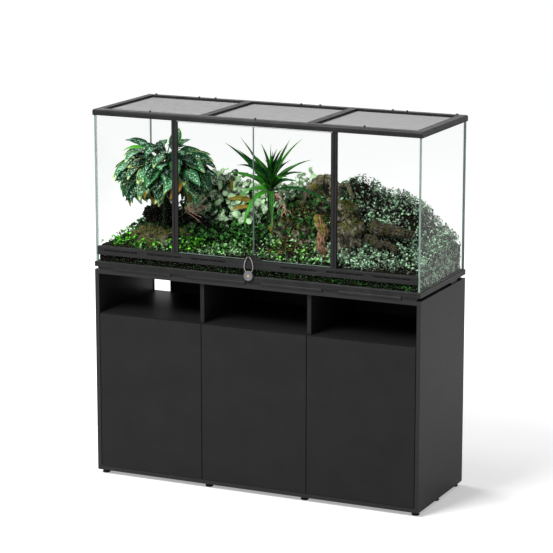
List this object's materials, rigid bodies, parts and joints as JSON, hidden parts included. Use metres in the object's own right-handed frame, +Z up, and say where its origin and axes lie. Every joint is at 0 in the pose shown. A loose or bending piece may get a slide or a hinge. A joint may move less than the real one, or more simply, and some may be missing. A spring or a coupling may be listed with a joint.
{
  "type": "terrarium cabinet",
  "caption": "Planted glass terrarium with hinged glass doors and lift-out mesh lids on a black cabinet with doors and an open niche.",
  "frame": {"origin": "on the floor, in the middle of the cabinet's width and depth", "axes": "+Z up, -Y towards the doors, +X along the width to the right as seen from the front"},
  "size_m": [1.5, 0.525, 1.6075],
  "materials": {
    "black_board": "black melamine-faced board, satin",
    "black_rail": "black moulded and extruded profile, satin",
    "black_plastic": "black moulded plastic",
    "clear_glass": "clear float glass, green at the edges",
    "nickel_steel": "nickel-plated steel",
    "wire_mesh": "light grey woven screen",
    "grey_plastic": "light grey plastic",
    "lock_grey": "grey moulded lock case",
    "coated_cable": "pale coated steel cable",
    "soil": "dark loose soil",
    "stone": "weathered brown-grey stone",
    "driftwood": "rough bark and driftwood",
    "silver_leaf": "silver-green leaves with yellow edges",
    "blade_leaf": "long green blades",
    "bright_leaf": "small bright green leaves",
    "small_leaf": "small variegated leaves"
  },
  "bodies": {
    "carcass": {"bottom_board": "black_board", "side_panel_left": "black_board", "side_panel_right": "black_board", "top_board": "black_board", "shelf_board": "black_board", "lower_partition_left": "black_board", "lower_partition_right": "black_board", "niche_partition_left": "black_board", "niche_partition_right": "black_board", "back_panel": "black_board", "back_panel_screws": "nickel_steel", "cabinet_feet": "black_plastic", "hinge_arms": "nickel_steel", "push_latch_housings": "black_plastic", "base_pads": "black_plastic", "base_frame": "black_rail", "floor_glass": "clear_glass", "side_glass_left": "clear_glass", "side_glass_right": "clear_glass", "back_glass": "clear_glass", "front_pane_left": "clear_glass", "front_pane_right": "clear_glass", "low_front_pane": "clear_glass", "vent_bar": "black_rail", "vent_screen": "wire_mesh", "hinge_post_left": "black_rail", "hinge_post_right": "black_rail", "hinge_pins": "nickel_steel", "top_frame": "black_rail", "cable_caps": "black_plastic", "soil_bed": "soil", "stones": "stone", "driftwood": "driftwood", "leaf_bush": "silver_leaf", "blade_rosette": "blade_leaf", "creeping_plants": "bright_leaf", "shrub_mound": "small_leaf"},
    "cabinet_door_left": {"cabinet_door_left": "black_board", "hinge_cups_left": "nickel_steel"},
    "cabinet_door_middle": {"cabinet_door_middle": "black_board", "hinge_cups_middle": "nickel_steel"},
    "cabinet_door_right": {"cabinet_door_right": "black_board", "hinge_cups_right": "nickel_steel"},
    "latch_plunger_left": {"latch_plunger_left": "grey_plastic"},
    "latch_plunger_middle": {"latch_plunger_middle": "grey_plastic"},
    "latch_plunger_right": {"latch_plunger_right": "grey_plastic"},
    "glass_door_left": {"door_glass_left": "clear_glass", "door_stile_left": "black_rail", "door_grip_left": "black_plastic"},
    "glass_door_right": {"door_glass_right": "clear_glass", "door_stile_right": "black_rail", "door_grip_right": "black_plastic"},
    "padlock": {"padlock_body": "lock_grey", "padlock_cable": "coated_cable"},
    "lid_left": {"lid_frame_left": "black_rail", "lid_mesh_left": "wire_mesh"},
    "lid_middle": {"lid_frame_middle": "black_rail", "lid_mesh_middle": "wire_mesh"},
    "lid_right": {"lid_frame_right": "black_rail", "lid_mesh_right": "wire_mesh"}
  },
  "joints": [
    {"name": "cabinet_door_left_hinge", "type": "hinge", "parent": "carcass", "child": "cabinet_door_left", "pos_m": [-0.729, -0.253, 0.4], "axis": [0, 0, -1], "range_deg": [0, 100]},
    {"name": "cabinet_door_middle_hinge", "type": "hinge", "parent": "carcass", "child": "cabinet_door_middle", "pos_m": [-0.242, -0.253, 0.4], "axis": [0, 0, -1], "range_deg": [0, 100]},
    {"name": "cabinet_door_right_hinge", "type": "hinge", "parent": "carcass", "child": "cabinet_door_right", "pos_m": [0.729, -0.253, 0.4], "axis": [0, 0, 1], "range_deg": [0, 100]},
    {"name": "glass_door_left_hinge", "type": "hinge", "parent": "carcass", "child": "glass_door_left", "pos_m": [-0.3601, -0.247, 1.3], "axis": [0, 0, -1], "range_deg": [0, 100]},
    {"name": "glass_door_right_hinge", "type": "hinge", "parent": "carcass", "child": "glass_door_right", "pos_m": [0.3601, -0.247, 1.3], "axis": [0, 0, 1], "range_deg": [0, 100]},
    {"name": "padlock_swing", "type": "hinge", "parent": "glass_door_left", "child": "padlock", "pos_m": [-0.016, -0.263, 1.0295], "axis": [0, 1, 0], "range_deg": [-20, 20]},
    {"name": "latch_plunger_left_press", "type": "slide", "parent": "carcass", "child": "latch_plunger_left", "axis": [0, 1, 0], "range_m": [0, 0.002], "stiffness_N_per_m": 600},
    {"name": "latch_plunger_middle_press", "type": "slide", "parent": "carcass", "child": "latch_plunger_middle", "axis": [0, 1, 0], "range_m": [0, 0.002], "stiffness_N_per_m": 600},
    {"name": "latch_plunger_right_press", "type": "slide", "parent": "carcass", "child": "latch_plunger_right", "axis": [0, 1, 0], "range_m": [0, 0.002], "stiffness_N_per_m": 600},
    {"name": "lid_left_lift", "type": "slide", "parent": "carcass", "child": "lid_left", "axis": [0, 0, 1], "range_m": [0, 0.12]},
    {"name": "lid_middle_lift", "type": "slide", "parent": "carcass", "child": "lid_middle", "axis": [0, 0, 1], "range_m": [0, 0.12]},
    {"name": "lid_right_lift", "type": "slide", "parent": "carcass", "child": "lid_right", "axis": [0, 0, 1], "range_m": [0, 0.12]}
  ]
}
